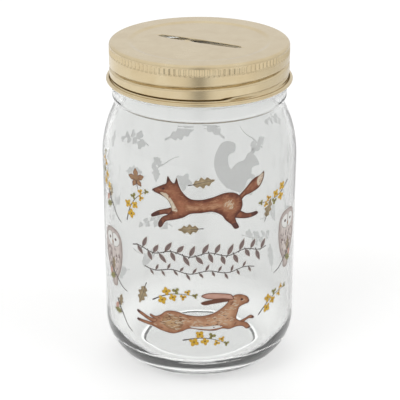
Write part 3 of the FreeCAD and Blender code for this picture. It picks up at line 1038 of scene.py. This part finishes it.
@dataclass
class Print:
    """The screen print that wraps the jar: thin closed films of enamel on the glass.

    A patch whose edge shade reaches further in than halo_from gets a white halo beneath it.
    """

    jar: GlassJar
    lift: float = 0.012
    film: float = 0.05
    halo: float = 0.3
    halo_from: float = 0.5
    grid: float = 1.0
    seed: int = 11
    materials: dict[Ink, bpy.types.Material] = field(default_factory=dict)

    def wrap(self, spots: np.ndarray, lift: float) -> np.ndarray:
        """Put flat points, arc length and height, on the glass.

        Args:
            spots: points of (arc length, height).
            lift: how far off the glass they lie.

        Returns:
            Points in space.
        """
        full = self.jar.radius + self.jar.print_room
        rise = np.maximum(spots[:, 1] - self.jar.shoulder_low, 0)
        curve = self.jar.shoulder_radius
        radius = self.jar.radius - curve + np.sqrt(curve ** 2 - rise ** 2) + lift
        return around(radius, spots[:, 0] / full, spots[:, 1])

    def triangles(self, patches: list[Patch]) -> tuple[np.ndarray, np.ndarray]:
        """Cut a drawing into triangles that follow every edge in it.

        Args:
            patches: the drawing.

        Returns:
            Flat points, and three point numbers for each triangle.
        """
        loops = [patch.loop for patch in patches]
        every = np.concatenate(loops)
        low, high = every.min(axis=0), every.max(axis=0)
        spots = np.stack(np.meshgrid(np.arange(low[0], high[0], self.grid),
                                     np.arange(low[1], high[1], self.grid)), axis=-1).reshape(-1, 2)
        edges, start = [], 0
        for loop in loops:
            edges += [(start + k, start + (k + 1) % len(loop)) for k in range(len(loop))]
            start += len(loop)
        corners = [Vector(spot) for spot in np.concatenate([every, spots]).tolist()]
        found = delaunay_2d_cdt(corners, edges, [], 0, 1e-5)
        return np.array([tuple(corner) for corner in found[0]]), np.array(found[2])

    def press(self, name: str, patches: list[Patch]) -> bpy.types.Object:
        """Make one film from a drawing, later patches over earlier ones.

        Args:
            name: the piece's name.
            patches: the drawing, in its place.

        Returns:
            The printed piece.
        """
        white = [Patch(Ink.WHITE, grow(patch.loop, self.halo), self.halo) for patch in patches
                 if patch.soft > self.halo_from]
        layers = white + patches
        flat, cells = self.triangles(layers)
        middles = flat[cells].mean(axis=1)
        top = np.full(len(cells), -1)
        for rank, patch in enumerate(layers):
            near = ((middles > patch.loop.min(axis=0)) & (middles < patch.loop.max(axis=0))).all(axis=1)
            spots = np.flatnonzero(near)
            top[spots[inside_loop(middles[spots], patch.loop)]] = rank
        cells, top = cells[top >= 0], top[top >= 0]
        used, cells = np.unique(cells, return_inverse=True)
        flat, cells = flat[used], cells.reshape(-1, 3)
        count = len(flat)
        area = np.cross(flat[cells[:, 1]] - flat[cells[:, 0]], flat[cells[:, 2]] - flat[cells[:, 0]])
        cells[area < 0] = cells[area < 0][:, ::-1]
        edges = np.concatenate([cells[:, [0, 1]], cells[:, [1, 2]], cells[:, [2, 0]]])
        known = set(map(tuple, edges.tolist()))
        rim = [edge for edge in known if edge[::-1] not in known]
        faces = (cells.tolist() + (cells[:, ::-1] + count).tolist()
                 + [[b, a, a + count, b + count] for a, b in sorted(rim)])
        points = np.concatenate([self.wrap(flat, self.lift + self.film), self.wrap(flat, self.lift)])
        inks = [Ink.BACKING] + sorted({layer.ink for layer in layers}, key=lambda ink: ink.name)
        piece = mesh_object(name, points, faces, self.materials[inks[0]], smooth=False)
        for ink in inks[1:]:
            piece.data.materials.append(self.materials[ink])
        numbers = np.zeros(len(faces), dtype=int)
        numbers[:len(cells)] = [inks.index(layers[rank].ink) for rank in top]
        piece.data.polygons.foreach_set("material_index", numbers.tolist())
        tone = np.ones(3 * 2 * len(cells) + 4 * len(rim))
        for rank in np.unique(top):
            mine = np.flatnonzero(top == rank)
            corners = cells[mine].reshape(-1)
            shade = distance_to(flat[corners], layers[rank].loop) / layers[rank].soft
            tone[(mine[:, None] * 3 + np.arange(3)).reshape(-1)] = np.clip(shade, 0, 1)
        piece.data.attributes.new("tone", "FLOAT", "CORNER").data.foreach_set("value", tone)
        return settle(piece, Body.JAR, Slot.PRINT)

    def build(self) -> None:
        """Print every drawing."""
        self.materials = {ink: ink.make() for ink in Ink}
        draw = random.Random(self.seed)
        self.press("print_fox", leaping_fox(draw))
        self.press("print_hare", running_hare(draw))
        self.press("print_owl_left", lay(perched_owl(draw), (-42.8, 51.0), 4))
        self.press("print_owl_right", lay(perched_owl(draw), (44.0, 59.0), -4, flip=True))
        self.press("print_squirrel", lay(sitting_squirrel(), (105.0, 68.5), 0, 1.15))
        self.press("print_garland", lay(garland(draw, 58.0, 0.9, 4.6), (0, 60.6))
                   + lay(garland(draw, 46.0, 0.7, 2.6), (0, 53.0)))
        self.press("print_sprigs", scatter(
            lambda: berry_sprig(draw),
            (-27.0, 78.0, 55), (34.5, 82.0, 196), (-10.7, 40.8, 12), (34.0, 34.0, 24), (2.3, 21.6, -6),
            (-46.6, 85.4, 110), (70.0, 62.0, 35), (-72.0, 60.0, -30), (-92.0, 84.0, 25),
            (96.0, 40.0, 160), (-104.0, 42.0, 15), (82.0, 97.0, -20), size=1.06))
        self.press("print_leaves", scatter(
            lambda: lobed_leaf(Ink.OAK, 8.6, 4.6, 3.5, 0.45),
            (-2.5, 90.4, 12, 1.0), (-0.2, 71.9, 185, 0.95), (28.8, 72.7, 70, 0.9), (-23.1, 44.0, 250, 1.0),
            (116.0, 83.2, 40, 1.3), (-112.0, 82.0, 165, 1.3), (-86.0, 72.0, 200, 1.2),
            (62.0, 84.0, 60, 1.1), (-64.0, 40.0, 120, 1.1), (120.0, 46.0, 30, 1.2), (84.0, 28.0, 80, 1.2),
            (-84.0, 26.0, 10, 1.2)
        ) + scatter(
            lambda: maple_leaf(Ink.MAPLE, 4.2),
            (-26.7, 89.5, 8), (-118.0, 60.0, 30), (66.0, 46.0, -20), (-70.0, 92.0, 15)))
        self.press("print_twigs", scatter(
            lambda: leafy_twig(draw),
            (-41.4, 73.4, -45), (-35.6, 26.6, -48), (100.0, 84.0, 30), (-109.0, 70.0, 160),
            (88.0, 52.0, -40), (-96.0, 30.0, 35)))


# ---------------------------------------------------------------- lid

@dataclass
class ScrewLid:
    """The drawn tinplate lid: recessed panel with its coin slot, knurl, thread and curl."""

    finish: SatinGold = field(default_factory=SatinGold)
    thread: Thread = field(default_factory=Thread)
    wall: float = 0.3
    radius: float = 36.2
    corner: float = 1.3
    curl: float = 0.85
    curl_opening: float = 60.0
    panel: float = 26.5
    panel_step: float = 2.4
    panel_depth: float = 0.5
    slot_length: float = 37.0
    slot_width: float = 3.6
    slot_angle: float = -28.5
    slot_field: float = 24.0
    lip_place: float = -0.24
    lip_reach: float = 0.08
    lip_near: float = 0.5
    lip_far: float = 0.2
    lip_set: float = 0.1
    groove_low: float = 13.3
    groove_depth: float = 1.3
    groove_above: float = 0.4
    groove_below: float = 1.5
    waist: float = 0.5
    waist_height: float = 1.05
    waist_reach: float = 0.55
    knurl_count: int = 112
    knurl_depth: float = 0.46
    knurl_top: float = 1.1
    knurl_height: float = 3.3
    steps_per_flute: int = 5

    def __post_init__(self) -> None:
        """Take the lid's heights from its CAD node."""
        low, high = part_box("lid_shell")
        self.top = high[2] / MM
        self.bottom = low[2] / MM
        self.count = self.knurl_count * self.steps_per_flute
        self.angles = np.arange(self.count) * math.tau / self.count

    def pressed(self, angle: np.ndarray, height: np.ndarray) -> np.ndarray:
        """How far the skirt is pressed inwards by the thread groove and the knurl.

        Args:
            angle: angles from the front in radians.
            height: heights.

        Returns:
            Distances inwards.
        """
        depth = np.zeros(np.broadcast(angle, height).shape)
        for offset, strength in self.thread.offsets(angle, height, self.top - self.groove_low):
            reach = np.where(offset > 0, self.groove_above, self.groove_below)
            dip = np.clip(1 - np.abs(offset / reach), 0, 1)
            depth = np.maximum(depth, ease(dip) * strength * self.groove_depth)
        down = (self.top - self.knurl_top - height) / self.knurl_height
        window = np.clip(np.minimum(down, 1 - down) * 5, 0, 1)
        flute = (0.5 - 0.5 * np.cos(angle * self.knurl_count)) ** 1.4
        return depth + ease(window) * flute * self.knurl_depth

    def crown(self, radius: np.ndarray) -> np.ndarray:
        """The height of the top at a distance from the axis."""
        rise = ease(np.clip((radius - self.panel) / self.panel_step, 0, 1))
        return self.top - self.panel_depth * (1 - rise)

    def lips(self, along: np.ndarray, side: np.ndarray, away: np.ndarray) -> np.ndarray:
        """How far the punched lips of the slot are sprung up or down.

        Args:
            along: place along the slot, from -1 to 1.
            side: 1 on the far lip, -1 on the near lip.
            away: distance from the slot's edge.

        Returns:
            Height changes.
        """
        sprung = bell(along - self.lip_place, self.lip_reach)
        spring = np.where(side < 0, self.lip_near * sprung - self.lip_set,
                          self.lip_set - self.lip_far * sprung)
        return spring * np.exp(-away / 1.1)

    def panel_rows(self, under: bool) -> np.ndarray:
        """Rings from the coin slot's edge out to a circle on the panel.

        Args:
            under: whether they lie on the lower face of the sheet.

        Returns:
            Rings of points.
        """
        tilt = math.radians(self.slot_angle)
        turned = self.angles - math.pi / 2 - tilt
        cosine, sine = np.cos(turned), np.sin(turned)
        edge_along = self.slot_length / 2 * cosine
        edge_across = self.slot_width / 2 * np.sign(sine) * np.sqrt(np.abs(sine))
        rows = []
        for share in np.linspace(0, 1, 9 if under else 17) ** 1.8:
            along = edge_along * (1 - share) + self.slot_field * cosine * share
            across = edge_across * (1 - share) + self.slot_field * sine * share
            away = np.hypot(along - edge_along, across - edge_across)
            height = (self.crown(np.hypot(along, across))
                      + self.lips(edge_along / (self.slot_length / 2), np.sign(sine), away)
                      - 0.06 * np.exp(-away / 0.25) - (self.wall if under else 0))
            x = along * math.cos(tilt) - across * math.sin(tilt)
            y = along * math.sin(tilt) + across * math.cos(tilt)
            rows.append(np.stack([x, y, height], axis=-1))
        return np.array(rows)

    def skin(self, inset: float) -> np.ndarray:
        """Rings over the panel's edge, the corner and the skirt, down to the curl.

        Args:
            inset: 0 for the outer skin, the sheet's thickness for the inner one.

        Returns:
            Rings of points.
        """
        fine = 1 if inset else 2
        flat = np.concatenate([np.linspace(self.slot_field + 0.4, self.panel - 0.2, 2 * fine),
                               np.linspace(self.panel, self.panel + self.panel_step, 4 * fine),
                               np.linspace(self.panel + self.panel_step + 0.8,
                                           self.radius - self.corner, 2 * fine)])
        rows = [around(radius, self.angles, self.crown(radius) - inset) for radius in flat]
        centre = (self.radius - self.corner, self.top - self.corner)
        for radius, height in arc(centre, self.corner - inset, 80, 0, 3 * fine):
            rows.append(around(radius, self.angles, height))
        curl_height = self.bottom + self.curl
        for height in np.linspace(self.top - self.corner - 0.1, curl_height + 0.02, 30 * fine):
            squeeze = self.pressed(self.angles, np.full(self.count, height))
            squeeze *= np.clip((height - curl_height) / 0.8, 0, 1)
            squeeze += self.waist * bell(height - curl_height - self.waist_height, self.waist_reach)
            rows.append(around(self.radius - inset - squeeze, self.angles, height))
        return np.array(rows)

    def curl_rows(self) -> np.ndarray:
        """Rings round the rolled edge, from the outer skin back to the inner one.

        Returns:
            Rings of points.
        """
        centre = (self.radius - self.wall + self.curl, self.bottom + self.curl)
        stop = 540 - self.curl_opening
        rolled = (arc(centre, self.curl - self.wall, 180, stop, 8)
                  + arc(centre, self.curl, stop, 180, 15))
        return np.array([around(radius, self.angles, height) for radius, height in rolled])

    def build(self) -> bpy.types.Object:
        """Make the lid's mesh: one closed sheet of metal.

        Returns:
            The lid piece.
        """
        rows = np.concatenate([self.panel_rows(under=False), self.skin(0.0), self.curl_rows(),
                               self.skin(self.wall)[::-1], self.panel_rows(under=True)[::-1]])
        faces = ring_faces(len(rows), self.count, closed=True)
        return settle(mesh_object("lid_pressing", rows.reshape(-1, 3), faces, self.finish.make()),
                      Body.LID, Slot.GOLD, "lid_shell")


@dataclass
class SealingRing:
    """The flowed-in ring of sealing compound, slightly dished where the rim presses it."""

    finish: SealingCompound = field(default_factory=SealingCompound)
    width: float = 5.0
    edge: float = 0.4
    dish: float = 0.12
    dish_place: float = 2.9
    dish_reach: float = 1.1
    segments: int = 160

    def build(self) -> bpy.types.Object:
        """Make the ring's mesh.

        Returns:
            The ring piece.
        """
        low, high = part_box("liner_ring")
        outer, top, bottom = high[0] / MM, high[2] / MM, low[2] / MM
        inner = outer - self.width
        thick = top - bottom
        outline = (arc((inner + thick / 2, top - thick / 2), thick / 2, 90, 270, 8)
                   + line((inner + thick, bottom), (outer - self.edge, bottom), 8)
                   + arc((outer - self.edge, bottom + self.edge), self.edge, 270, 360, 4)
                   + line((outer, bottom + self.edge + 0.1), (outer, top - 0.02), 2)
                   + line((outer - 0.02, top), (inner + thick, top), 6))
        angle = np.arange(self.segments) * math.tau / self.segments
        rows = []
        for radius, height in outline:
            under = height < bottom + 0.01
            dished = self.dish * bell(radius - inner - self.dish_place, self.dish_reach) * under
            rows.append(around(radius, angle, height + dished))
        points = np.array(rows).reshape(-1, 3)
        faces = ring_faces(len(rows), self.segments, closed=True)
        return settle(mesh_object("sealing_ring", points, faces, self.finish.make()),
                      Body.SEAL, Slot.SEAL, "liner_ring")


# ---------------------------------------------------------------- studio

@dataclass
class Studio:
    """The camera, the pale floor, the lamps and the white surroundings.

    glow_under, glow_beyond and dusk hold where a change starts, where it stops and how strong it
    gets. The floor glows under the jar for the light that the glass gathers there.
    """

    target: float = 67.5
    distance: float = 574.0
    elevation: float = 22.62
    lens: float = 123.6
    sensor: float = 36.0
    shift: float = 0.0015
    aim: float = 0.07
    floor_half: float = 4.0
    floor_glow: float = 0.42
    glass_glow: float = 0.14
    metal_glow: float = 0.44
    glow_under: tuple[float, float, float] = (0.075, 0.03, 0.45)
    glow_beyond: tuple[float, float, float] = (0.18, 0.6, 0.22)
    dusk: tuple[float, float, float] = (0.15, 0.42, 0.22)
    glass_sky: float = 0.88
    metal_sky: float = 0.84
    dull_sky: float = 0.55
    gap_slope: float = 0.17
    gap_near: float = -0.15
    gap_depth: float = 0.72
    sky_gap: float = 0.4
    sky_lift: float = 0.25
    floor_colour: tuple[float, float, float, float] = (0.72, 0.72, 0.715, 1)
    gap_colour: tuple[float, float, float, float] = (0.06, 0.06, 0.06, 1)

    def place_camera(self) -> None:
        """Aim the camera at the jar's axis from the front and above."""
        slope = math.radians(self.elevation)
        camera = add_object("camera", bpy.data.cameras.new("camera"))
        camera.location = Vector((0, -self.distance * math.cos(slope),
                                  self.target + self.distance * math.sin(slope))) * MM
        camera.rotation_euler = (math.pi / 2 - slope, 0, 0)
        camera.data.lens = self.lens
        camera.data.sensor_width = self.sensor
        camera.data.shift_x = self.shift
        camera.data.clip_start = 0.01
        bpy.context.scene.camera = camera
        bpy.context.scene.view_settings.view_transform = "Standard"

    def dark_gap(self, sheet: NodeSheet, across: bpy.types.NodeSocket,
                 depth: bpy.types.NodeSocket) -> bpy.types.NodeSocket:
        """Where the unlit gap between the front lamps lies, for reflections: 1 in it, 0 well away.

        Args:
            sheet: the sheet to work on.
            across: how far to the right a point or a direction lies.
            depth: how far back it lies.

        Returns:
            The share of the gap.
        """
        slope = sheet.math("DIVIDE", across, sheet.math("MINIMUM", depth, -0.0001))
        squared = sheet.math("MULTIPLY", slope, slope)
        inside = sheet.math("EXPONENT", sheet.math("MULTIPLY", -1 / self.gap_slope ** 2, squared))
        return sheet.math("MULTIPLY", inside, sheet.math("LESS_THAN", depth, 0.0))

    def lay_floor(self) -> None:
        """Lay the plain floor: white to the camera, and set apart for metal and for glass."""
        mesh = bpy.data.meshes.new("floor")
        half = self.floor_half
        mesh.from_pydata([(-half, -half, 0), (half, -half, 0), (half, half, 0), (-half, half, 0)],
                         [], [(0, 1, 2, 3)])
        floor = add_object("floor", mesh)
        material, sheet = new_material("floor")
        rays = sheet.add("LightPath").outputs
        place = sheet.place()
        x, y, _ = sheet.add("SeparateXYZ", {0: place}).outputs
        reach = sheet.add("VectorMath", {0: place}, operation="LENGTH").outputs["Value"]
        gap = sheet.math("MULTIPLY", self.dark_gap(sheet, x, y), sheet.math("LESS_THAN", y, self.gap_near))
        right = sheet.rise(sheet.math("ADD", x, y), *self.dusk)
        # Painted pool of light: to rays through the glass the floor glows more under the jar, in place of
        # the light that the glass gathers there.
        under = sheet.rise(reach, *self.glow_under)
        beyond = sheet.rise(reach, *self.glow_beyond)
        shade = sheet.math("MAXIMUM", sheet.math("MULTIPLY", gap, self.gap_depth), right)
        shade = sheet.math("MULTIPLY", shade, rays["Is Glossy Ray"])
        colour = sheet.add("Mix", {"Factor": shade, 6: self.floor_colour, 7: self.gap_colour},
                           data_type="RGBA").outputs[2]
        to_metal = sheet.math("MULTIPLY", self.metal_glow, sheet.math("SUBTRACT", 1.0, shade))
        to_glass = sheet.math("ADD", sheet.math("ADD", self.glass_glow, beyond), under)
        glow = sheet.choose(rays["Is Camera Ray"], self.floor_glow, 0.0)
        glow = sheet.choose(rays["Is Glossy Ray"], to_metal, glow)
        glow = sheet.choose(rays["Is Transmission Ray"], to_glass, glow)
        sheet.surface({
            "Base Color": colour, "Roughness": 0.6, "Specular IOR Level": 0.2,
            "Emission Color": (1, 1, 1, 1), "Emission Strength": glow})
        mesh.materials.append(material)

    def hang_lamp(self, name: str, place: Point, height: float, side: float, watts: float) -> None:
        """Hang a square soft lamp aimed at the jar.

        Args:
            name: the lamp's name.
            place: where it hangs, in metres from the axis along X and Y.
            height: its height in metres.
            side: the side of its square in metres.
            watts: its power.
        """
        lamp = add_object(name, bpy.data.lights.new(name, "AREA"))
        lamp.data.size = side
        lamp.data.energy = watts
        lamp.visible_glossy = False
        lamp.visible_transmission = False
        lamp.location = (*place, height)
        way = Vector((0, 0, self.aim)) - lamp.location
        lamp.rotation_euler = way.to_track_quat("-Z", "Y").to_euler()

    def surround(self) -> None:
        """Light the surroundings: white to the eye, softly uneven to metal and glass."""
        world = bpy.data.worlds.new("surroundings")
        bpy.context.scene.world = world
        world.use_nodes = True
        sheet = NodeSheet(world.node_tree)
        rays = sheet.add("LightPath").outputs
        across, depth, upward = sheet.add("SeparateXYZ", {0: sheet.place("Generated")}).outputs
        lift = sheet.math("MULTIPLY", self.sky_lift, sheet.math("ABSOLUTE", upward))
        sky = sheet.math("ADD", self.metal_sky, lift)
        gap = sheet.math("MULTIPLY", self.sky_gap, self.dark_gap(sheet, across, depth))
        level = sheet.choose(rays["Is Glossy Ray"], sheet.math("SUBTRACT", sky, gap), self.dull_sky)
        level = sheet.choose(rays["Is Transmission Ray"], self.glass_sky, level)
        level = sheet.choose(rays["Is Camera Ray"], 1.0, level)
        white = sheet.add("Background", {"Color": (1, 1, 1, 1), "Strength": level})
        sheet.add("OutputWorld", {"Surface": white.outputs[0]})

    def build(self) -> None:
        """Set up everything round the jar."""
        self.place_camera()
        self.lay_floor()
        self.hang_lamp("key_lamp", (-0.9, -0.8), 1.3, 0.9, 7.4)
        self.hang_lamp("fill_lamp", (1.1, -0.5), 0.9, 0.9, 4.1)
        self.hang_lamp("back_lamp", (0.0, 1.1), 1.4, 1.0, 4.1)
        self.surround()


def main() -> None:
    """Build the studio, then every piece of the jar."""
    logging.basicConfig(level=logging.INFO, format="%(message)s")
    Studio().build()
    jar = GlassJar()
    jar.build()
    Print(jar).build()
    SealingRing().build()
    ScrewLid().build()


if __name__ == "__main__":
    main()
